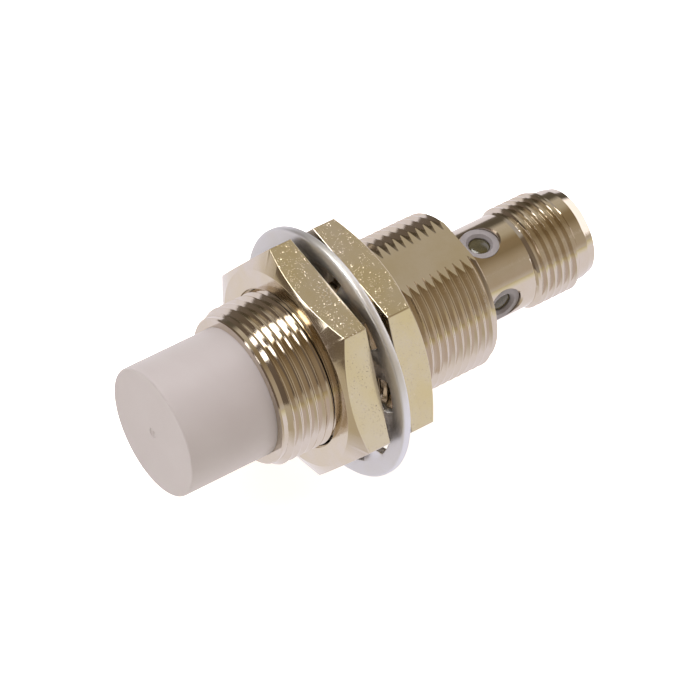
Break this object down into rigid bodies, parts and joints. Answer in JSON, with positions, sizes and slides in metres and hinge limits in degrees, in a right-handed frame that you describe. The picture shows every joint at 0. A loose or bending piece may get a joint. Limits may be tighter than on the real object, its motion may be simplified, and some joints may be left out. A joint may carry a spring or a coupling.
{
  "type": "proximity sensor",
  "caption": "Cylindrical inductive proximity sensor with a protruding plastic sensing head, threaded barrel, clamping nuts, lock washer and a threaded plug end.",
  "frame": {"origin": "centre of the flat sensing face at the front of the plastic head", "axes": "+Y runs along the barrel from the sensing face to the plug, +Z is square to the flat milled on the barrel and points up, +X completes the right-handed frame"},
  "size_m": [0.029, 0.0548, 0.029],
  "materials": {
    "pbt_cap": "matte moulded PBT",
    "nickel_barrel": "nickel-plated brass, turned",
    "nickel_nut": "nickel-plated brass, milled hexagon",
    "zinc_steel": "zinc-plated spring steel",
    "ferrite": "sintered ferrite",
    "bobbin": "moulded nylon",
    "copper": "enamelled copper wire",
    "board": "glass-epoxy board with solder mask",
    "chip": "moulded epoxy package",
    "ceramic": "ceramic capacitor",
    "led": "clear epoxy over the die",
    "lens": "clear light window",
    "insert": "moulded nylon insert",
    "gold": "gold-plated brass",
    "rubber": "nitrile O-ring",
    "resin": "cast epoxy resin"
  },
  "bodies": {
    "sensor_body": {"sensing_cap": "pbt_cap", "threaded_barrel": "nickel_barrel", "connector_shell": "nickel_barrel", "ferrite_core": "ferrite", "coil_bobbin": "bobbin", "coil_winding": "copper", "coil_lead_1": "copper", "coil_lead_2": "copper", "circuit_board": "board", "sensor_ic": "chip", "output_transistor": "chip", "protection_diode": "chip", "trim_resistor": "chip", "supply_capacitor": "ceramic", "indicator_led_1": "led", "indicator_led_2": "led", "indicator_window_1": "lens", "indicator_window_2": "lens", "indicator_window_3": "lens", "indicator_window_4": "lens", "contact_carrier": "insert", "contact_pin_1": "gold", "contact_pin_2": "gold", "contact_pin_3": "gold", "contact_pin_4": "gold", "shell_seal": "rubber", "potting_resin": "resin"},
    "washer": {"toothed_washer": "zinc_steel"},
    "front_nut": {"front_nut": "nickel_nut"},
    "rear_nut": {"rear_nut": "nickel_nut"}
  },
  "joints": [
    {"name": "washer_slide", "type": "slide", "parent": "sensor_body", "child": "washer", "axis": [0, 1, 0], "range_m": [-0.0056, 0.0003]},
    {"name": "front_nut_spin", "type": "hinge", "parent": "washer", "child": "front_nut", "pos_m": [0, 0.019, 0], "axis": [0, 1, 0], "range_deg": [-2016, 108]},
    {"name": "rear_nut_travel", "type": "slide", "parent": "sensor_body", "child": "rear_nut", "axis": [0, 1, 0], "range_m": [0, 0.01]}
  ],
  "couplings": [
    {"joint": "washer_slide", "follows": "front_nut_spin", "m_per_rad": 0.00015915}
  ]
}
